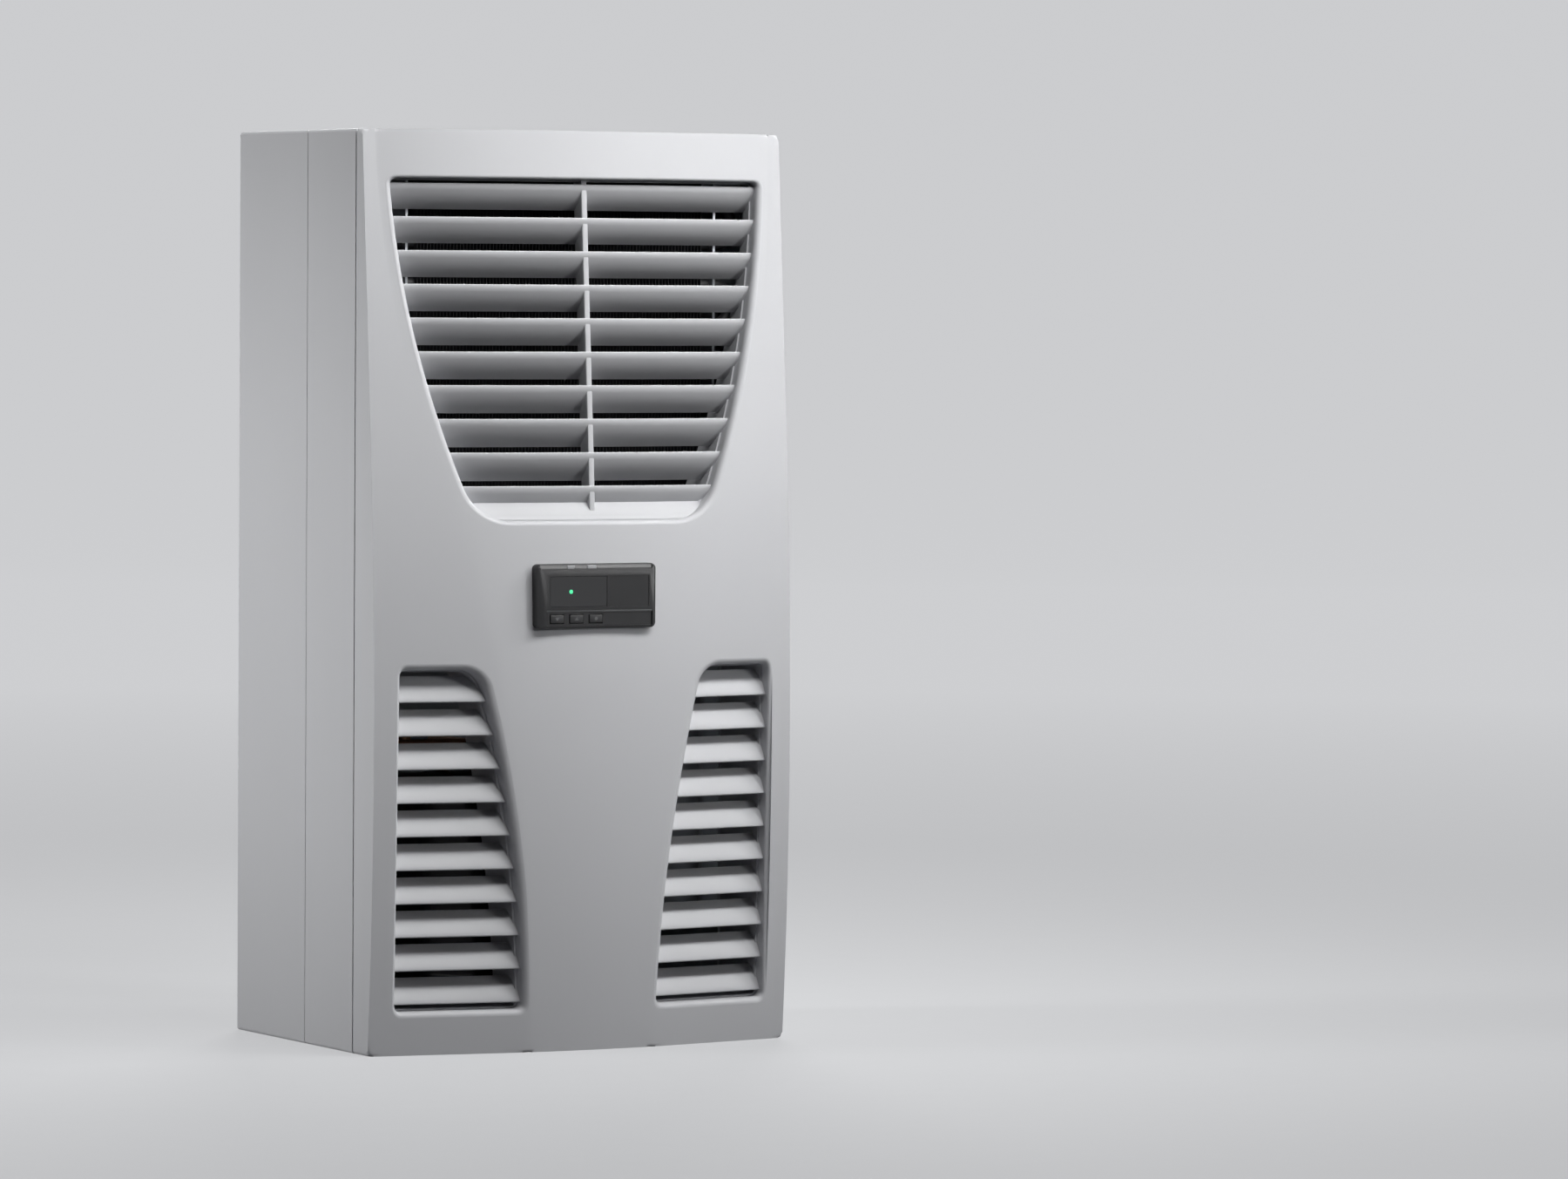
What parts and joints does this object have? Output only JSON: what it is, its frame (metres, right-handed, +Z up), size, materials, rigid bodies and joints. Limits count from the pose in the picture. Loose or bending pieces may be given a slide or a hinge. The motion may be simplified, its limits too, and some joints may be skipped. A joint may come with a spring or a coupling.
{
  "type": "enclosure cooling unit",
  "caption": "Upright cooling unit for an electrical enclosure, with a bowed front cover, louvred air openings, a small controller and a sealed cold circuit.",
  "frame": {"origin": "on the ground under the middle of the unit's width and overall depth", "axes": "+X to the right as seen from the front, +Y towards the enclosure (the front looks along -Y), +Z up"},
  "size_m": [0.28, 0.2126, 0.55],
  "materials": {
    "casing_paint": "satin powder coat, fine texture",
    "cover_plastic": "fine moulded grain",
    "grille_plastic": "fine moulded grain",
    "gasket_foam": "closed-cell foam",
    "zinc_plate": "zinc-plated sheet",
    "zinc_parts": "bright zinc",
    "compressor_paint": "gloss black enamel",
    "motor_paint": "satin black",
    "fan_plastic": "moulded, satin",
    "rubber_black": "matt",
    "fin_aluminium": "mill finish",
    "fin_coating": "dark dirt-shedding coat",
    "copper_pipe": "drawn copper, lightly tarnished",
    "board_green": "solder mask",
    "relay_blue": "moulded",
    "capacitor_can": "drawn can",
    "lead_jacket": "soft jacket",
    "controller_black": "fine satin",
    "window_gloss": "polished dark window",
    "lamp_green": "lit lens",
    "key_plastic": "satin"
  },
  "bodies": {
    "casing": {"rear_chassis": "casing_paint", "rear_panel": "casing_paint", "joint_frame": "zinc_plate", "rear_gasket": "gasket_foam", "mounting_inserts": "zinc_parts", "hood": "casing_paint", "cover_studs": "zinc_parts", "partition_wall": "zinc_plate", "bay_deck": "zinc_plate", "base_plate": "zinc_plate", "compressor_shell": "compressor_paint", "compressor_grommets": "rubber_black", "compressor_bolts": "zinc_parts", "relay_cover": "fan_plastic", "condenser_fins": "fin_coating", "condenser_tubes": "copper_pipe", "condenser_end_plates": "zinc_plate", "fan_shroud": "zinc_plate", "condenser_fan_motor": "motor_paint", "evaporator_fins": "fin_aluminium", "evaporator_tubes": "copper_pipe", "evaporator_end_plates": "zinc_plate", "evaporator_fan_motor": "motor_paint", "inlet_ring": "zinc_plate", "inlet_guard": "zinc_parts", "outlet_guard": "zinc_parts", "condensate_tray": "fan_plastic", "drain_hose": "rubber_black", "drain_nozzle": "fan_plastic", "filter_drier": "copper_pipe", "capillary_tube": "copper_pipe", "discharge_pipe": "copper_pipe", "liquid_pipe": "copper_pipe", "suction_pipe": "copper_pipe", "control_box": "zinc_plate", "control_box_lid": "zinc_plate", "control_board": "board_green", "board_relays": "relay_blue", "run_capacitor": "capacitor_can", "supply_socket": "fan_plastic", "compressor_lead": "lead_jacket", "condenser_fan_lead": "lead_jacket", "evaporator_fan_lead": "lead_jacket", "air_sensor": "fan_plastic", "guard_screws": "zinc_parts"},
    "cover": {"front_cover": "cover_plastic", "upper_grille": "grille_plastic", "left_grille": "grille_plastic", "right_grille": "grille_plastic", "controller_housing": "controller_black", "display_window": "window_gloss", "status_lamp": "lamp_green", "display_board": "board_green"},
    "condenser_fan": {"condenser_fan_wheel": "fan_plastic"},
    "evaporator_fan": {"evaporator_fan_wheel": "fan_plastic"},
    "key_down": {"key_down": "key_plastic"},
    "key_up": {"key_up": "key_plastic"},
    "key_set": {"key_set": "key_plastic"}
  },
  "joints": [
    {"name": "condenser_fan_spin", "type": "hinge", "parent": "casing", "child": "condenser_fan", "pos_m": [0, -0.006, 0.42052], "axis": [0, 1, 0], "continuous": true},
    {"name": "evaporator_fan_spin", "type": "hinge", "parent": "casing", "child": "evaporator_fan", "pos_m": [0, 0.07, 0.44798], "axis": [0, 1, 0], "continuous": true},
    {"name": "front_cover_pull", "type": "slide", "parent": "casing", "child": "cover", "axis": [0, -1, 0], "range_m": [0, 0.12]},
    {"name": "key_down_press", "type": "slide", "parent": "cover", "child": "key_down", "axis": [0, 1, 0], "range_m": [0, 0.0006], "stiffness_N_per_m": 400},
    {"name": "key_up_press", "type": "slide", "parent": "cover", "child": "key_up", "axis": [0, 1, 0], "range_m": [0, 0.0006], "stiffness_N_per_m": 400},
    {"name": "key_set_press", "type": "slide", "parent": "cover", "child": "key_set", "axis": [0, 1, 0], "range_m": [0, 0.0006], "stiffness_N_per_m": 400}
  ]
}
